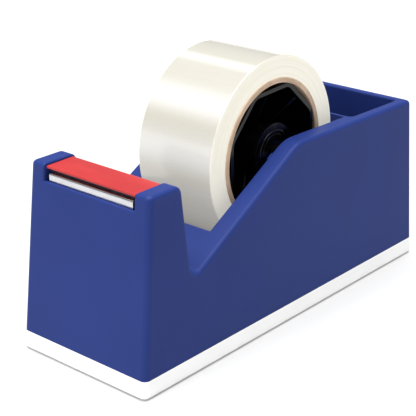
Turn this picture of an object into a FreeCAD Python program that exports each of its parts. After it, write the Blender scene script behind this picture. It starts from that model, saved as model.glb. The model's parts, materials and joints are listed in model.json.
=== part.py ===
import FreeCAD, Part
import math
import os

# Desk tape dispenser with a pen compartment and a shallow drawer.
# Lengths are in millimetres.  +X runs from the cutter end to the pen end, +Z is up,
# and the origin is at the middle of the footprint, level with the soles of the feet.

# Body
body_length = 243.8          # at floor level
body_width = 90.4            # at floor level
side_draft = 0.031           # each side leans in by this much for each unit of height
front_lean = 0.0965          # the same for the cutter end
rear_lean = 0.053            # the same for the pen end
corner_radius = 3.4          # upright corners
least_corner = 1.0           # where the inside corner would be sharper
shell_wall = 2.5
top_edge_round = 2.4
rim_inner_round = 1.4
sill_round = 1.4
ledge_round = 0.9            # front edge of the ledge, between the cheeks
cheek_round = 1.2

# Base
foot_proud = 1.2
foot_radius = 8.0
foot_seat_depth = 1.5
foot_inset_x = 24.0          # foot centre from the body's end
foot_inset_y = 19.0          # foot centre from the body's side
base_band_height = 9.4
base_floor = 3.0
base_wall = 2.6
base_edge_round = 0.6
tongue_height = 3.0          # locating tongue that stands up inside the shell
tongue_wall = 1.6
tongue_fit = 0.2

# Tape roll and the core that carries it
roll_radius = 53.3
core_bore_radius = 38.1      # three-inch core
core_wall = 2.85
core_width = 52.2
core_overhang = 0.5          # core beyond the film, each side

# Well and axle
roll_clearance = 3.7         # round the roll
well_side_gap = 5.1          # beside the core
axle_x = 3.7
axle_radius = 4.0
axle_fit = 0.08              # radial, in the cradle slots
bush_fit = 0.06              # radial, in the spindle bushes
axle_end_gap = 0.4           # shaft end to well side
cradle_clearance = 1.1       # core end to cradle pad
spindle_gap = 1.0            # spindle end to cradle pad
cradle_half_width = 8.0
cradle_depth = 13.0          # below the axle
cradle_below_top = 5.0       # the pads stay this far under the wall tops
cradle_top_round = 1.0
axle_chamfer = 0.6

# Side outline
rim_above_axle = 8.2
rim_fall = 0.018             # the rim drops by this much for each unit towards the pen end
ramp_angle = 29.3
ramp_top_from_axle = 0.8
ramp_top_round = 24.0
post_above_axle = 11.0
post_depth = 22.9            # at the top
post_back_lean = 0.0978
post_back_round = 4.6
valley_radius = 5.2
sill_from_axle = 60.5        # where the ramp's slope breaks off into the well

# Pen compartment
partition = 2.8              # between well and compartment
compartment_side = 7.2       # wall-top width at its sides
compartment_rear = 5.3       # wall-top width at its rear
compartment_floor = 2.4
compartment_corner = 3.0

# Drawer
drawer_sill = 1.9            # drawer underside above the base band
drawer_height = 20.1
drawer_head_gap = 2.0        # drawer top to the underside of the well
drawer_length = 100.0
drawer_side_room = 12.4      # drawer side to the body's outer side
drawer_wall = 1.8
drawer_floor = 2.0
drawer_travel = 75.0
drawer_front_thickness = 3.2
drawer_front_lap = 3.2       # the front is this much wider than the tray, each side
drawer_gap = 0.4             # round the front
drawer_front_rise = 2.1      # the front is this much taller than the tray
end_reach = 10.0             # cuts for the drawer's front start this far inside the body's end
scoop_radius = 12.0
scoop_depth = 7.5
lug_length = 3.0
lug_reach = 5.5
lug_height = 5.0
lug_drop = 1.5               # below the tray's top
stop_gap = 0.3
runner_gap = 0.2
runner_ledge = 3.0
runner_guide_gap = 0.5
runner_guide = 1.8
runner_guide_height = 6.0

# Cutter head
cheek_thickness = 10.0
ledge_drop = 9.2             # ledge below the cheek tops
ledge_wall = 1.9
channel_floor_drop = 18.0
back_wall_drop = 7.0
back_wall = 2.6
block_flange = 4.5
block_side_gap = 0.3
upright_thickness = 4.8
upright_drop = 4.8           # below the cheek tops
bar_thickness = 2.8
bar_above_ledge = 4.4
bar_round = 1.2
bar_front_gap = 0.2
blade_thickness = 0.8
blade_end_gap = 2.4          # blade and bar end to cheek
tooth_pitch = 1.6
tooth_height = 1.2
blade_tip_drop = 3.5         # below the cheek tops

# Guard
guard_plate = 1.5
guard_side_gap = 0.8
guard_barrel_radius = 2.4
guard_axis_drop = 3.4        # below the cheek tops
guard_axis_from_back = 4.0   # from the back of the post
guard_front_inset = 1.4      # behind the front face
guard_front_drop = 1.2       # below the cheek tops
guard_front_round = 0.6
pin_radius = 1.25
pin_in_cheek = 3.5
pin_in_guard = 2.0
pin_bore_spare = 0.4
pin_fit = 0.05

# Reel that carries the core
spindle_radius = 12.4
spindle_wall = 2.4
spindle_web = 3.0
web_hole_radius = 8.0
bush_length = 4.0
sleeve_wall = 2.0
sleeve_flange_radius = 15.8
sleeve_flange = 1.5
adapter_recess = 0.6         # adapter face inside the core's end
adapter_sides = 8
adapter_corner_round = 9.0
adapter_core_fit = 0.1
adapter_wall = 2.2
adapter_web = 2.0
adapter_turn = 25.0          # first corner above the +X direction
rib_thickness = 1.6
rib_rim_depth = 2.4          # rib edge below the adapter's face, at the rim
rib_hub_depth = 12.0         # the same at the hub

# Ballast
ballast_side_gap = 14.5      # to the body's outer side
front_ballast_length = 16.0
front_ballast_height = 68.0
front_ballast_inset = 9.5    # from the cutter end at floor level
centre_ballast_height = 12.0
ballast_gap = 5.0            # between the two blocks, and to the drawer
ballast_edge = 1.5

# Screws: thread radius, head radius, head height
base_screw = {"r": 1.5, "head_r": 2.9, "head": 2.0, "length": 16.0}
ballast_screw = {"r": 2.0, "head_r": 3.4, "head": 1.6, "length": 11.0}
block_screw = {"r": 1.3, "head_r": 2.3, "head": 1.7, "length": 12.0}
blade_screw = {"r": 1.2, "head_r": 2.2, "head": 1.6, "length": 7.6}
drawer_screw = {"r": 1.2, "head_r": 2.4, "head": 1.4, "length": 3.9}
boss_wall = 2.1
boss_sink = 0.6              # the boss runs this far into the side wall
boss_cap = 2.0               # closed end of a boss
screw_recess = 1.0           # base screw head below the floor's underside
screw_head_room = 0.4        # round a screw head that stands beside a wall
base_screw_inset_x = 16.0    # from the body's ends
screw_hole_spare = 3.0       # hole beyond a screw's tip
blade_screw_inset = 9.2      # screw axis to blade end
block_screw_inset = 5.0      # screw axis to cheek
drawer_screw_inset = 10.4    # from the tray's side
front_screw_gap = 0.5        # front ballast screw head to foot
centre_screw_inset = 14.0    # from the ends of the centre ballast

touching = 0.01              # two surfaces closer than this are taken as one
overshoot = 1.0              # a cut runs this far past the face it opens

# Directions
UP = (0, 0, 1)
DOWN = (0, 0, -1)
TO_FRONT = (-1, 0, 0)
TO_REAR = (1, 0, 0)

# Worked out from the sizes above
far = 2.0 * body_length
band_top = foot_proud + base_band_height
base_floor_top = foot_proud + base_floor
base_screw_seat = foot_proud + base_screw["head"] + screw_recess
ballast_screw_seat = foot_proud + ballast_screw["head"]
drawer_bottom = band_top + drawer_sill
drawer_top = drawer_bottom + drawer_height
well_under = drawer_top + drawer_head_gap
well_radius = roll_radius + roll_clearance
axle_z = well_under + shell_wall + well_radius
well_half = core_width / 2 + well_side_gap
rim_front_z = axle_z + rim_above_axle
post_top = axle_z + post_above_axle
ledge_z = post_top - ledge_drop
channel_floor = post_top - channel_floor_drop
drawer_roof = drawer_top + drawer_front_rise + drawer_gap


def front_x(z):
    return -body_length / 2 + front_lean * z


def rear_x(z):
    return body_length / 2 - rear_lean * z


def half_width(z):
    return body_width / 2 - side_draft * z


post_back_x = front_x(post_top) + post_depth
cheek_inner = half_width(post_top) - cheek_thickness
compartment_half = half_width(rim_front_z) - compartment_side
compartment_front = axle_x + well_radius + partition
compartment_back = rear_x(rim_front_z) - compartment_rear
compartment_z = drawer_roof + compartment_floor + shell_wall / 2
drawer_half = body_width / 2 - drawer_side_room
drawer_front_half = drawer_half + drawer_front_lap
drawer_screw_half_span = drawer_half - drawer_screw_inset
drawer_back_x = rear_x(drawer_top) - drawer_front_thickness - drawer_length
screw_boss_radius = base_screw["r"] + boss_wall
screw_boss_y = half_width(band_top) - shell_wall - screw_boss_radius + boss_sink
screw_boss_x = [front_x(0) + base_screw_inset_x, axle_x, rear_x(0) - base_screw_inset_x]
block_screw_x = post_back_x - back_wall - block_screw["head_r"] - screw_head_room
bar_front_x = front_x(ledge_z) + ledge_wall + bar_front_gap
blade_front_x = bar_front_x + bar_thickness
upright_front_x = blade_front_x + blade_thickness
upright_back_x = upright_front_x + upright_thickness
block_base_top = channel_floor + block_flange
blade_screw_z = (block_base_top + ledge_z + bar_above_ledge) / 2
blade_half = cheek_inner - blade_end_gap
blade_screw_half_span = blade_half - blade_screw_inset
block_screw_half_span = cheek_inner - block_screw_inset
guard_x = post_back_x - guard_axis_from_back
guard_z = post_top - guard_axis_drop
guard_half = cheek_inner - guard_side_gap
cradle_y = core_width / 2 + cradle_clearance
film_half = core_width / 2 - core_overhang
spindle_half = cradle_y - spindle_gap


# Simple solids

def box(x0, x1, y0, y1, z0, z1):
    corner = FreeCAD.Vector(x0, y0, z0)
    return Part.makeBox(x1 - x0, y1 - y0, z1 - z0, corner)


def both_sides(half, x0, x1, z0, z1):
    return box(x0, x1, -half, half, z0, z1)


def rod(radius, start, along, length):
    return Part.makeCylinder(radius, length, FreeCAD.Vector(*start), FreeCAD.Vector(*along))


def rod_z(radius, x, y, z0, z1):
    return rod(radius, (x, y, z0), (0, 0, 1), z1 - z0)


def rod_y(radius, x, z, y0, y1):
    return rod(radius, (x, y0, z), (0, 1, 0), y1 - y0)


def tube_y(outer, inner, x, z, y0, y1):
    return rod_y(outer, x, z, y0, y1).cut(rod_y(inner, x, z, y0, y1))


def mirrored(shape):
    """The same shape on the other side of the body."""
    return shape.mirror(FreeCAD.Vector(0, 0, 0), FreeCAD.Vector(0, 1, 0))


def on_both_sides(shape):
    return [shape, mirrored(shape)]


def joined(shapes):
    return shapes[0].fuse(shapes[1:]).removeSplitter()


def save(name, shape):
    solids = shape.Solids
    whole = solids[0] if len(solids) == 1 else Part.makeCompound(solids)
    whole.exportStep("parts/" + name + ".step")


# Rounded outlines in the XZ plane

def unit(dx, dz):
    length = math.hypot(dx, dz)
    return dx / length, dz / length


def rounded_outline(corners):
    """Closed wire through corners (x, z, radius), each corner replaced by a tangent arc."""
    count = len(corners)
    starts = []
    ends = []
    arcs = []
    for i, (x, z, radius) in enumerate(corners):
        before = corners[i - 1]
        after = corners[(i + 1) % count]
        back = unit(before[0] - x, before[1] - z)
        on = unit(after[0] - x, after[1] - z)
        if radius <= 0:
            starts.append((x, z))
            ends.append((x, z))
            arcs.append(None)
            continue
        half = math.acos(back[0] * on[0] + back[1] * on[1]) / 2
        reach = radius / math.tan(half)
        middle = unit(back[0] + on[0], back[1] + on[1])
        nearest = radius / math.sin(half) - radius
        starts.append((x + back[0] * reach, z + back[1] * reach))
        ends.append((x + on[0] * reach, z + on[1] * reach))
        arcs.append((x + middle[0] * nearest, z + middle[1] * nearest))
    edges = []
    for i in range(count):
        if arcs[i] is not None:
            points = [FreeCAD.Vector(p[0], 0, p[1]) for p in (starts[i], arcs[i], ends[i])]
            edges.append(Part.Arc(*points).toShape())
        here = FreeCAD.Vector(ends[i][0], 0, ends[i][1])
        there = FreeCAD.Vector(starts[(i + 1) % count][0], 0, starts[(i + 1) % count][1])
        if here.distanceToPoint(there) > 1e-6:
            edges.append(Part.LineSegment(here, there).toShape())
    return Part.Wire(edges)


def across(outline, half):
    """Solid with this XZ outline, from -half to +half in Y."""
    face = Part.Face(outline)
    face.translate(FreeCAD.Vector(0, -half, 0))
    return face.extrude(FreeCAD.Vector(0, 2 * half, 0))


# Body

def footprint(z, inset):
    """Corners of the body's plan at height z, moved in by inset."""
    x0 = front_x(z) + inset
    x1 = rear_x(z) - inset
    y1 = half_width(z) - inset
    return [FreeCAD.Vector(*p, z) for p in ((x0, -y1), (x1, -y1), (x1, y1), (x0, y1))]


def flat_face(points):
    return Part.Face(Part.makePolygon(points + points[:1]))


def body_block(z0, z1, inset):
    """The body's leaning block between two heights, moved in by inset, with rounded uprights."""
    low = footprint(z0, inset)
    high = footprint(z1, inset)
    faces = [flat_face(low[::-1]), flat_face(high)]
    for i in range(4):
        j = (i + 1) % 4
        faces.append(flat_face([low[i], low[j], high[j], high[i]]))
    block = Part.makeSolid(Part.makeShell(faces))
    upright = [e for e in block.Edges if abs(e.Vertexes[0].Z - e.Vertexes[1].Z) > (z1 - z0) / 2]
    return block.makeFillet(max(corner_radius - inset, least_corner), upright)


def side_corners(inset):
    """Corners of the side outline, moved down and in by inset."""
    slope = math.tan(math.radians(ramp_angle))
    ramp_top_x = axle_x + ramp_top_from_axle
    ramp_drop = inset / math.cos(math.radians(ramp_angle))
    back_shift = inset * math.hypot(1, post_back_lean)
    rim_z = rim_front_z - inset
    top_x = ramp_top_x + (ramp_drop - inset) / slope
    back_x = post_back_x - back_shift
    top_z = post_top - inset
    # the post's back line is x = back_x + post_back_lean * (top - z), the ramp line is
    # z = rim_front_z - ramp_drop + slope * (x - ramp_top_x)
    ramp_at_back = rim_front_z - ramp_drop + slope * (back_x - ramp_top_x)
    valley_x = back_x + post_back_lean * (post_top - ramp_at_back) / (1 + post_back_lean * slope)
    valley_z = rim_front_z - ramp_drop + slope * (valley_x - ramp_top_x)
    back_top_x = back_x + post_back_lean * inset
    return [
        (-far, -far, 0),
        (-far, top_z, 0),
        (back_top_x, top_z, post_back_round),
        (valley_x, valley_z, valley_radius + inset),
        (top_x, rim_z, ramp_top_round),
        (far, rim_z - rim_fall * (far - top_x), 0),
        (far, -far, 0),
    ]


def sill():
    """Top of the edge where the ramp's slope breaks off into the well."""
    slope = math.tan(math.radians(ramp_angle))
    x = axle_x - sill_from_axle
    return x, rim_front_z + slope * (x - axle_x - ramp_top_from_axle)


def well(grow):
    """Space for the roll: a floor that falls from the sill, then an arc round the roll."""
    sill_x, sill_z = sill()
    radius = well_radius + grow
    gap = math.hypot(axle_x - sill_x, axle_z - sill_z)
    fall = math.atan2(axle_z - sill_z, axle_x - sill_x) - math.asin(well_radius / gap)
    down = (math.sin(fall), -math.cos(fall))
    touch = (axle_x + radius * down[0], axle_z + radius * down[1])
    start_x = sill_x - grow
    start = (start_x, touch[1] + math.tan(fall) * (start_x - touch[0]))
    end = (axle_x + radius, axle_z)
    bend = (fall - math.pi / 2) / 2
    middle = (axle_x + radius * math.cos(bend), axle_z + radius * math.sin(bend))
    points = [start, touch, middle, end, (end[0], far), (start[0], far)]
    p = [FreeCAD.Vector(q[0], 0, q[1]) for q in points]
    edges = [
        Part.LineSegment(p[0], p[1]).toShape(),
        Part.Arc(p[1], p[2], p[3]).toShape(),
        Part.LineSegment(p[3], p[4]).toShape(),
        Part.LineSegment(p[4], p[5]).toShape(),
        Part.LineSegment(p[5], p[0]).toShape(),
    ]
    return across(Part.Wire(edges), well_half + grow)


def compartment(grow):
    """Space for pens: a box with rounded upright corners."""
    space = both_sides(
        compartment_half + grow,
        compartment_front - grow,
        compartment_back + grow,
        compartment_z - grow,
        far,
    )
    upright = [e for e in space.Edges if abs(e.tangentAt(e.FirstParameter).z) > 0.99]
    return space.makeFillet(compartment_corner + grow, upright)


def cutter_channel():
    """Gap between the cheeks, with a channel in its floor for the cutter block."""
    back_inner = post_back_x - back_wall
    low_front = front_x(channel_floor) + ledge_wall
    high_front = front_x(ledge_z) + ledge_wall
    back_top = post_top - back_wall_drop
    corners = [
        (low_front, channel_floor, 0),
        (high_front, ledge_z, 0),
        (-far, ledge_z, 0),
        (-far, far, 0),
        (post_back_x + post_depth / 2, far, 0),
        (post_back_x + post_depth / 2, back_top, 0),
        (back_inner, back_top, 0),
        (back_inner, channel_floor, 0),
    ]
    return across(rounded_outline(corners), cheek_inner)


def near_outer_side(point):
    """True where a point lies on the body's leaning outside."""
    side = abs(point.y) > half_width(point.z) - corner_radius - touching
    front = point.x < front_x(point.z) + corner_radius + touching
    rear = point.x > rear_x(point.z) - corner_radius - touching
    return side or front or rear


def edge_middle(edge):
    return edge.valueAt((edge.FirstParameter + edge.LastParameter) / 2)


def on_top_surface(edge, block):
    """True where an edge runs along the top of the side outline."""
    middle = edge_middle(edge)
    above = FreeCAD.Vector(middle.x, 0, middle.z)
    return block.distToShape(Part.Vertex(above))[0] < touching


def outer_body():
    """The shell's outside, with its top edges rounded."""
    outline = rounded_outline(side_corners(0))
    block = body_block(band_top, post_top + overshoot, 0).common(across(outline, far))
    edges = []
    for edge in block.Edges:
        middle = edge_middle(edge)
        if on_top_surface(edge, outline) and near_outer_side(middle):
            edges.append(edge)
    return block.makeFillet(top_edge_round, edges)


def compartment_rim(block, outline):
    """Edges where the wall tops meet the compartment."""
    chosen = []
    for edge in block.Edges:
        middle = edge_middle(edge)
        across_rim = abs(middle.y) < compartment_half + touching
        along_rim = compartment_front - touching < middle.x < compartment_back + touching
        if across_rim and along_rim and on_top_surface(edge, outline):
            chosen.append(edge)
    return chosen


def wall_edge_relief():
    """What the rounding takes off the inner top edge of the +Y wall, from the sill on."""
    outline = rounded_outline(side_corners(0))
    face = Part.Face(outline)
    face.translate(FreeCAD.Vector(0, well_half, 0))
    wall = face.extrude(FreeCAD.Vector(0, body_width, 0))
    edges = []
    for edge in wall.Edges:
        middle = edge_middle(edge)
        on_wall = abs(middle.y - well_half) < touching and middle.z > 0
        if on_wall and middle.x > post_back_x - post_back_round:
            edges.append(edge)
    rounded = wall.makeFillet(rim_inner_round, edges)
    reach = both_sides(far, sill()[0], axle_x + well_radius, 0, far)
    return wall.cut(rounded).common(reach)


def cheek_edges(block):
    """Upper inner edges of the two cheeks, round the front, top and back."""
    chosen = []
    for edge in block.Edges:
        middle = edge_middle(edge)
        ends_y = [v.Point.y for v in edge.Vertexes]
        flat = all(abs(abs(y) - cheek_inner) < touching for y in ends_y + [middle.y])
        outside = middle.z > post_top - back_wall_drop and near_post_outline(middle)
        front = ledge_z + overshoot < middle.z and abs(middle.x - front_x(middle.z)) < touching
        if flat and (outside or front):
            chosen.append(edge)
    return chosen


def near_post_outline(point):
    """True on the top of the post or on its back, rounded edges included."""
    back = post_back_x + post_back_lean * (post_top - point.z)
    top = point.z > post_top - top_edge_round
    return top or abs(point.x - back) < touching


def shell_hollow():
    """Inside of the shell: the outside moved in, less what stands round each opening."""
    hollow = body_block(band_top - overshoot, post_top, shell_wall)
    hollow = hollow.common(across(rounded_outline(side_corners(shell_wall)), far))
    hollow = hollow.cut(well(shell_wall))
    hollow = hollow.cut(compartment(compartment_floor))
    head = both_sides(far, -far, post_back_x + post_depth / 2, channel_floor - shell_wall, far)
    return hollow.cut(head)


def cradle_pad():
    """Pad on the well side with an open slot that the axle drops into."""
    slope = math.tan(math.radians(ramp_angle))
    top_at_axle = rim_front_z - cradle_below_top - slope * ramp_top_from_axle
    x0 = axle_x - cradle_half_width
    x1 = axle_x + cradle_half_width
    corners = [
        (x0, axle_z - cradle_depth, cradle_half_width / 2),
        (x1, axle_z - cradle_depth, cradle_half_width / 2),
        (x1, rim_front_z - cradle_below_top, cradle_top_round),
        (axle_x + ramp_top_from_axle, rim_front_z - cradle_below_top, 0),
        (x0, top_at_axle - slope * cradle_half_width, cradle_top_round),
    ]
    face = Part.Face(rounded_outline(corners))
    face.translate(FreeCAD.Vector(0, cradle_y, 0))
    pad = face.extrude(FreeCAD.Vector(0, well_half - cradle_y + shell_wall / 2, 0))
    slot_half = axle_radius + axle_fit
    slot = rod_y(slot_half, axle_x, axle_z, cradle_y - overshoot, well_half)
    mouth = box(axle_x - slot_half, axle_x + slot_half, cradle_y - overshoot, well_half, axle_z, post_top)
    return pad.cut([slot, mouth])


def base_screw_places():
    return [(x, y) for x in screw_boss_x for y in (-screw_boss_y, screw_boss_y)]


def block_screw_places():
    return [(block_screw_x, -block_screw_half_span), (block_screw_x, block_screw_half_span)]


def sill_edge(block):
    """The edge across the body at the sill."""
    x, z = sill()
    return [e for e in block.Edges if edge_middle(e).distanceToPoint(FreeCAD.Vector(x, 0, z)) < touching]


def ledge_edge(block):
    """The front edge of the ledge between the cheeks."""
    middle = FreeCAD.Vector(front_x(ledge_z), 0, ledge_z)
    return [e for e in block.Edges if edge_middle(e).distanceToPoint(middle) < touching]


def outer_shell():
    """Shell with every opening rounded, before it is hollowed."""
    outline = rounded_outline(side_corners(0))
    shell = outer_body().cut(compartment(0))
    shell = shell.makeFillet(rim_inner_round, compartment_rim(shell, outline))
    shell = shell.cut(cutter_channel())
    shell = shell.makeFillet(cheek_round, cheek_edges(shell))
    shell = shell.makeFillet(ledge_round, ledge_edge(shell))
    shell = shell.cut(well(0))
    shell = shell.makeFillet(sill_round, sill_edge(shell))
    return shell.cut(on_both_sides(wall_edge_relief()))


def block_screw_depth():
    """Depth of the cutter block's screw holes below the channel floor."""
    return block_screw["length"] - block_flange + screw_hole_spare


def body_shell():
    shell = outer_shell().cut(shell_hollow())
    hole_top = base_screw_seat + base_screw["length"] + screw_hole_spare
    bosses = on_both_sides(cradle_pad())
    holes = on_both_sides(guard_pin_seat())
    for x, y in base_screw_places():
        bosses.append(rod_z(screw_boss_radius, x, y, band_top, hole_top + boss_cap))
        holes.append(rod_z(base_screw["r"], x, y, 0, hole_top))
    low = channel_floor - block_screw_depth()
    block_boss = block_screw["r"] + boss_wall
    for x, y in block_screw_places():
        bosses.append(rod_z(block_boss, x, y, low - boss_cap, channel_floor - shell_wall / 2))
        holes.append(rod_z(block_screw["r"], x, y, low, channel_floor))
    doorway = both_sides(
        drawer_front_half + drawer_gap, rear_x(0) - end_reach, far, 0, drawer_roof
    )
    return joined([shell] + bosses).cut(holes + [doorway])


# Base

def foot_places():
    x = body_length / 2 - foot_inset_x
    y = body_width / 2 - foot_inset_y
    return [(sx * x, sy * y) for sx in (-1, 1) for sy in (-1, 1)]


def rubber_feet():
    height = foot_proud + foot_seat_depth
    return Part.makeCompound([rod_z(foot_radius, x, y, 0, height) for x, y in foot_places()])


def runner():
    """Drawer runner on the +Y side: a ledge under the drawer and a guide beside it."""
    x0 = drawer_back_x
    x1 = rear_x(band_top) - base_wall - drawer_front_thickness
    top = drawer_bottom - runner_gap
    guide_y = drawer_half + runner_guide_gap
    ledge = box(x0, x1, drawer_half - runner_ledge, guide_y + runner_guide, base_floor_top, top)
    guide = box(x0, x1, guide_y, guide_y + runner_guide, base_floor_top, top + runner_guide_height)
    return ledge.fuse(guide)


def tongue():
    """Thin wall round the base that locates the shell, left out behind the drawer front."""
    inset = shell_wall + tongue_fit
    top = band_top + tongue_height
    ring = body_block(base_floor_top, top, inset)
    gaps = [body_block(base_floor_top, top, inset + tongue_wall)]
    gaps.append(both_sides(drawer_front_half + 2 * tongue_wall, drawer_back_x, far, band_top, far))
    for x, y in base_screw_places():
        gaps.append(rod_z(screw_boss_radius + tongue_fit, x, y, band_top, top))
    return ring.cut(gaps)


def base_tray():
    """White base: a floor with a band round it, the tongue, the runners and the screw pillars."""
    tray = body_block(foot_proud, band_top, 0)
    bottom = [e for e in tray.Edges if edge_middle(e).z < foot_proud + touching]
    tray = tray.makeFillet(base_edge_round, bottom).cut(body_block(base_floor_top, band_top, base_wall))
    additions = [tongue()] + on_both_sides(runner())
    holes = []
    for x, y in base_screw_places():
        additions.append(rod_z(screw_boss_radius, x, y, base_floor_top, band_top))
        holes.append(rod_z(base_screw["r"], x, y, 0, band_top))
        holes.append(rod_z(base_screw["head_r"], x, y, 0, base_screw_seat))
    for x, y in foot_places():
        holes.append(rod_z(foot_radius, x, y, 0, foot_proud + foot_seat_depth))
    for x, y in ballast_screw_places():
        holes.append(rod_z(ballast_screw["r"], x, y, 0, base_floor_top))
        holes.append(rod_z(ballast_screw["head_r"], x, y, 0, ballast_screw_seat))
    return joined([tray] + additions).cut(holes)


# Screws

def screw(kind, seat, into):
    """Pan-head screw: the head stands on seat, and the shank runs from there along into."""
    out = [-part for part in into]
    head = rod(kind["head_r"], seat, out, kind["head"])
    return head.fuse(rod(kind["r"], seat, into, kind["length"])).removeSplitter()


def base_screws():
    seats = [(x, y, base_screw_seat) for x, y in base_screw_places()]
    return Part.makeCompound([screw(base_screw, seat, UP) for seat in seats])


def ballast_screws():
    seats = [(x, y, ballast_screw_seat) for x, y in ballast_screw_places()]
    return Part.makeCompound([screw(ballast_screw, seat, UP) for seat in seats])


def cutter_block_screws():
    seats = [(x, y, block_base_top) for x, y in block_screw_places()]
    return Part.makeCompound([screw(block_screw, seat, DOWN) for seat in seats])


def blade_screw_seats():
    spans = (-blade_screw_half_span, blade_screw_half_span)
    return [(upright_back_x, y, blade_screw_z) for y in spans]


def blade_screws():
    return Part.makeCompound([screw(blade_screw, seat, TO_FRONT) for seat in blade_screw_seats()])


# Ballast

def front_ballast_start():
    return -body_length / 2 + front_ballast_inset


def centre_ballast_span():
    start = front_ballast_start() + front_ballast_length + ballast_gap
    return start, drawer_back_x - ballast_gap


def ballast_screw_places():
    front_mid = front_ballast_start() + front_ballast_length / 2
    foot_y = foot_places()[-1][1]
    span = foot_y - foot_radius - ballast_screw["head_r"] - front_screw_gap
    x0, x1 = centre_ballast_span()
    centre = [(x0 + centre_screw_inset, 0), (x1 - centre_screw_inset, 0)]
    return [(front_mid, -span), (front_mid, span)] + centre


def ballast_block(x0, x1, height):
    half = body_width / 2 - ballast_side_gap
    block = both_sides(half, x0, x1, base_floor_top, base_floor_top + height)
    block = block.makeChamfer(ballast_edge, block.Edges)
    top = ballast_screw_seat + ballast_screw["length"]
    return block.cut([rod_z(ballast_screw["r"], x, y, 0, top) for x, y in ballast_screw_places()])


def front_ballast():
    x0 = front_ballast_start()
    return ballast_block(x0, x0 + front_ballast_length, front_ballast_height)


def centre_ballast():
    x0, x1 = centre_ballast_span()
    return ballast_block(x0, x1, centre_ballast_height)


# Cutter head

def blade_screw_holes(shape):
    length = blade_screw["length"]
    return shape.cut([rod(blade_screw["r"], seat, TO_FRONT, length) for seat in blade_screw_seats()])


def cutter_block():
    """Insert in the channel: a flange that is screwed down and an upright behind the blade."""
    half = cheek_inner - block_side_gap
    back = post_back_x - back_wall - block_side_gap
    front = front_x(channel_floor) + ledge_wall + block_flange * front_lean + block_side_gap
    flange = both_sides(half, front, back, channel_floor, block_base_top)
    upright = both_sides(half, upright_front_x, upright_back_x, block_base_top, post_top - upright_drop)
    holes = [rod_z(block_screw["r"], x, y, channel_floor, block_base_top) for x, y in block_screw_places()]
    return blade_screw_holes(joined([flange, upright]).cut(holes))


def cutter_blade():
    """Strip of steel with a saw-toothed top edge."""
    tip = post_top - blade_tip_drop
    root = tip - tooth_height
    count = int(2 * blade_half / tooth_pitch)
    pitch = 2 * blade_half / count
    points = [(-blade_half, block_base_top), (-blade_half, root)]
    for i in range(count):
        left = -blade_half + i * pitch
        points.append((left + pitch / 2, tip))
        points.append((left + pitch, root))
    points.append((blade_half, block_base_top))
    outline = [FreeCAD.Vector(blade_front_x, y, z) for y, z in points]
    face = Part.Face(Part.makePolygon(outline + outline[:1]))
    return blade_screw_holes(face.extrude(FreeCAD.Vector(blade_thickness, 0, 0)))


def blade_clamp_bar():
    """Polished bar in front of the blade, with its front edges rounded."""
    top = ledge_z + bar_above_ledge
    bar = both_sides(blade_half, bar_front_x, blade_front_x, block_base_top, top)
    long_edges = [e for e in bar.Edges if abs(edge_middle(e).y) < touching]
    front = [e for e in long_edges if edge_middle(e).x < bar_front_x + touching]
    return blade_screw_holes(bar.makeFillet(bar_round, front))


# Guard

def guard_pin_seat():
    """Hole in the +Y cheek for a guard pin."""
    return rod_y(pin_radius, guard_x, guard_z, cheek_inner - overshoot, cheek_inner + pin_in_cheek)


def guard_pins():
    pin = rod_y(pin_radius, guard_x, guard_z, guard_half - pin_in_guard, cheek_inner + pin_in_cheek)
    return Part.makeCompound(on_both_sides(pin))


def blade_guard():
    """Plate that covers the blade, with a barrel on the hinge axis."""
    front = front_x(post_top - guard_front_drop) + guard_front_inset
    top = post_top - guard_front_drop
    barrel_top = guard_z + guard_barrel_radius
    corners = [
        (front, top, guard_front_round),
        (front, top - guard_plate, guard_front_round),
        (guard_x, barrel_top - guard_plate, 0),
        (guard_x, barrel_top, 0),
    ]
    plate = across(rounded_outline(corners), guard_half)
    barrel = rod_y(guard_barrel_radius, guard_x, guard_z, -guard_half, guard_half)
    guard = joined([plate, barrel])
    depth = pin_in_guard + pin_bore_spare
    bore = rod_y(pin_radius + pin_fit, guard_x, guard_z, guard_half - depth, guard_half)
    return guard.cut(on_both_sides(bore))


# Axle and reel

def axle_shaft():
    half = well_half - axle_end_gap
    shaft = rod_y(axle_radius, axle_x, axle_z, -half, half)
    ends = [e for e in shaft.Edges if e.Curve.TypeId == "Part::GeomCircle"]
    return shaft.makeChamfer(axle_chamfer, ends)


def spindle_drum():
    inner = spindle_radius - spindle_wall
    drum = tube_y(spindle_radius, inner, axle_x, axle_z, -spindle_half, spindle_half)
    web = rod_y(spindle_radius, axle_x, axle_z, -spindle_web / 2, spindle_web / 2)
    hole = rod_y(web_hole_radius, axle_x, axle_z, -spindle_web, spindle_web)
    return joined([drum, web]).cut(hole)


def spindle_bushes():
    outer = spindle_radius - spindle_wall
    bush = tube_y(outer, axle_radius + bush_fit, axle_x, axle_z, spindle_half - bush_length, spindle_half)
    return Part.makeCompound(on_both_sides(bush))


def polygon_rod(apothem, y0, y1, round_radius):
    """Upright-sided polygon bar on the axle, with rounded corners."""
    radius = apothem / math.cos(math.pi / adapter_sides)
    corners = []
    for i in range(adapter_sides):
        angle = math.radians(adapter_turn) + 2 * math.pi * i / adapter_sides
        corners.append((axle_x + radius * math.cos(angle), axle_z + radius * math.sin(angle), round_radius))
    face = Part.Face(rounded_outline(corners))
    face.translate(FreeCAD.Vector(0, y0, 0))
    return face.extrude(FreeCAD.Vector(0, y1 - y0, 0))


def adapter_apothem():
    """Flat-to-centre size that brings the rounded corners up to the core's bore."""
    reach = core_bore_radius - adapter_core_fit
    share = math.cos(math.pi / adapter_sides)
    return (reach + adapter_corner_round * (1 / share - 1)) * share


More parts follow.
